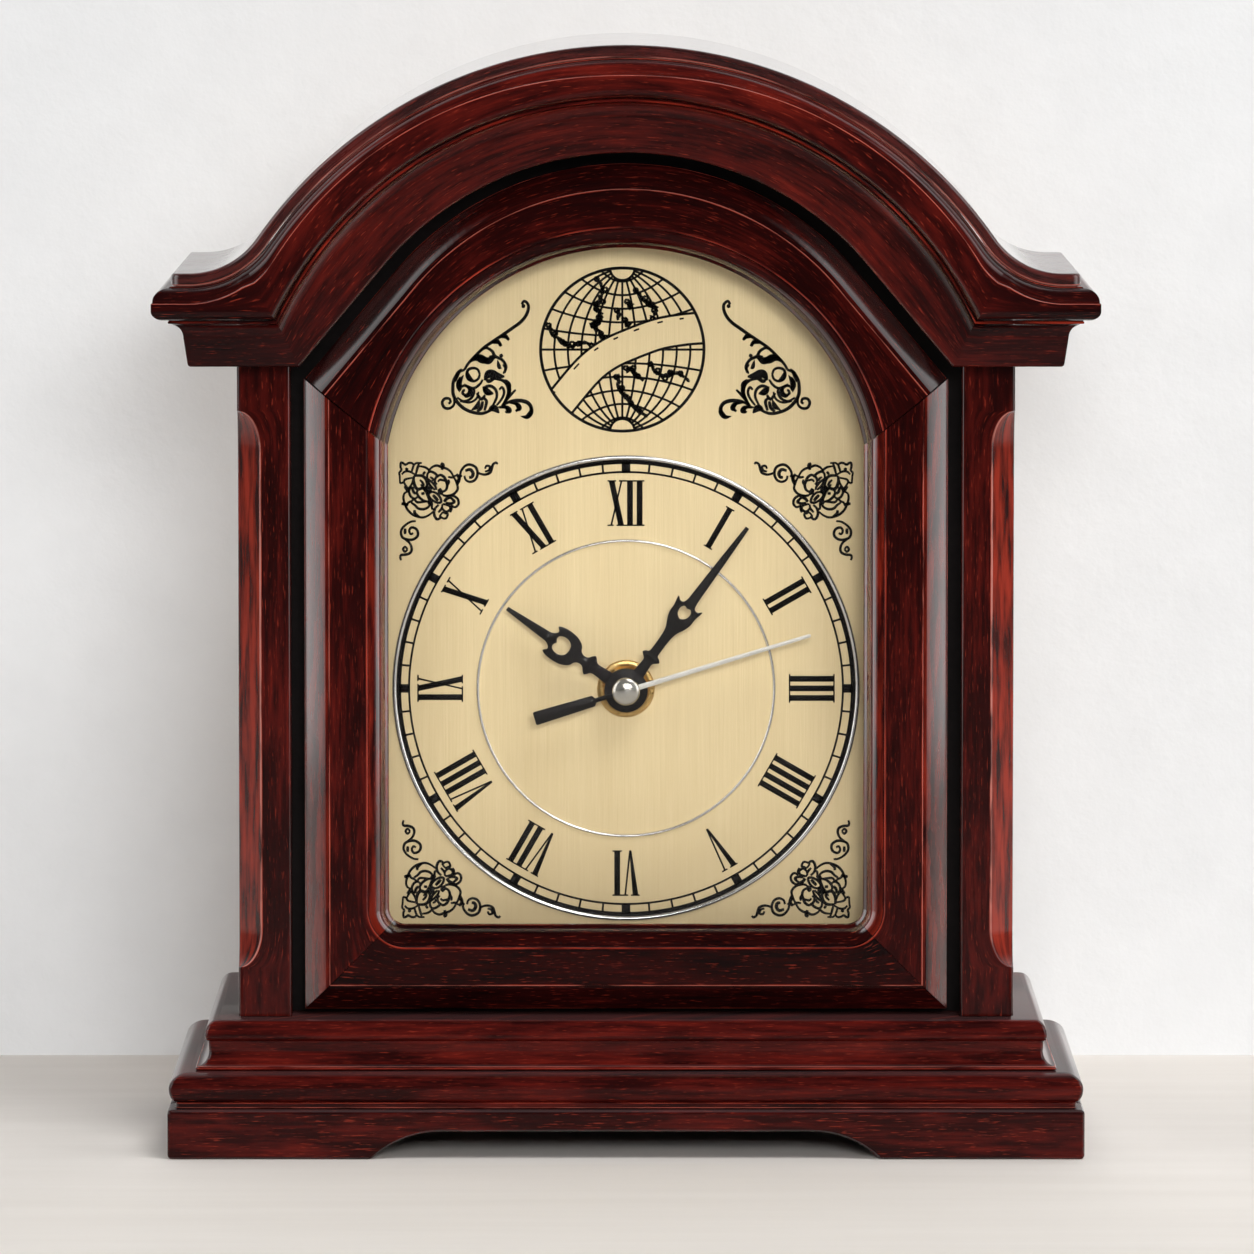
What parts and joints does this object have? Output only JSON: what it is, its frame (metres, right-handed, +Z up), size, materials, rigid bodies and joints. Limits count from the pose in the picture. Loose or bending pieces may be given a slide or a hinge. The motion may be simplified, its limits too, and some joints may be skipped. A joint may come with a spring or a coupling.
{
  "type": "table clock",
  "caption": "Arched wooden table clock with stepped base, crown moulding, glazed arched front, gilt dial with Roman numerals and a battery movement that turns the hands.",
  "frame": {"origin": "on the table, under the middle of the clock", "axes": "+X to the right seen from the front, +Y to the back, +Z up; the dial faces -Y"},
  "size_m": [0.2278, 0.1098, 0.269],
  "materials": {
    "lacquer": "high-gloss red lacquer over dark wood",
    "black_board": "matt black paint",
    "raw_board": "bare fibreboard",
    "gilt": "brushed pale gold",
    "polished": "polished",
    "brass": "satin",
    "hand_black": "satin black",
    "steel": "plain",
    "pane": "clear",
    "housing": "moulded",
    "nylon": "moulded",
    "gasket": "plain",
    "copper": "enamelled copper wire",
    "circuit": "solder resist",
    "cell": "printed sleeve left plain"
  },
  "bodies": {
    "case": {"plinth_front": "lacquer", "plinth_back": "lacquer", "plinth_left": "lacquer", "plinth_right": "lacquer", "base_lower_board": "lacquer", "base_upper_board": "lacquer", "roof_panel": "lacquer", "crown_nose_front": "lacquer", "crown_cove_front": "lacquer", "crown_nose_left": "lacquer", "crown_cove_left": "lacquer", "crown_nose_right": "lacquer", "crown_cove_right": "lacquer", "side_panel_left": "lacquer", "stile_left": "lacquer", "side_panel_right": "lacquer", "stile_right": "lacquer", "frame_left": "lacquer", "frame_right": "lacquer", "frame_bottom": "lacquer", "frame_arch": "lacquer", "back_cleat_left": "raw_board", "back_cleat_right": "raw_board", "back_panel": "raw_board", "dial_board": "raw_board", "back_screw_1": "brass", "back_screw_2": "brass", "back_screw_3": "brass", "back_screw_4": "brass", "front_board": "black_board", "glass_pane": "pane", "dial_plate": "gilt", "dial_outer_ring": "polished", "dial_inner_ring": "polished", "movement_housing": "housing", "movement_cover": "housing", "gasket": "gasket", "brass_washer": "brass", "hex_nut": "brass", "stator": "steel", "coil_core": "steel", "drive_coil": "copper", "circuit_board": "circuit", "cell": "cell", "contact_minus": "steel", "contact_plus": "steel"},
    "minute": {"centre_wheel": "nylon", "minute_hand": "hand_black"},
    "hour": {"hour_wheel": "nylon", "hour_hand": "hand_black"},
    "setting": {"setting_arbor": "nylon", "setting_knob": "nylon"},
    "third": {"third_wheel": "nylon"},
    "second": {"second_wheel": "nylon", "second_hand": "steel", "second_hand_cap": "polished"},
    "transfer": {"transfer_wheel": "nylon"},
    "motor": {"rotor": "steel"}
  },
  "joints": [
    {"name": "minute_turn", "type": "hinge", "parent": "case", "child": "minute", "pos_m": [0, 0, 0.1109], "axis": [0, 1, 0], "continuous": true},
    {"name": "hour_turn", "type": "hinge", "parent": "case", "child": "hour", "pos_m": [0, 0, 0.1109], "axis": [0, 1, 0], "continuous": true},
    {"name": "setting_turn", "type": "hinge", "parent": "case", "child": "setting", "pos_m": [0.01081, 0, 0.1109], "axis": [0, 1, 0], "continuous": true},
    {"name": "third_turn", "type": "hinge", "parent": "case", "child": "third", "pos_m": [-0.00644, 0, 0.11858], "axis": [0, 1, 0], "continuous": true},
    {"name": "second_turn", "type": "hinge", "parent": "case", "child": "second", "pos_m": [0, 0, 0.1109], "axis": [0, 1, 0], "continuous": true},
    {"name": "transfer_turn", "type": "hinge", "parent": "case", "child": "transfer", "pos_m": [0.00597, 0, 0.11943], "axis": [0, 1, 0], "continuous": true},
    {"name": "motor_turn", "type": "hinge", "parent": "case", "child": "motor", "pos_m": [0.01387, 0, 0.12231], "axis": [0, 1, 0], "continuous": true}
  ],
  "couplings": [
    {"joint": "hour_turn", "follows": "minute_turn", "ratio": 0.083333},
    {"joint": "setting_turn", "follows": "minute_turn", "ratio": -0.33333},
    {"joint": "third_turn", "follows": "minute_turn", "ratio": -8},
    {"joint": "second_turn", "follows": "minute_turn", "ratio": 60},
    {"joint": "transfer_turn", "follows": "minute_turn", "ratio": -300},
    {"joint": "motor_turn", "follows": "minute_turn", "ratio": 1800}
  ]
}
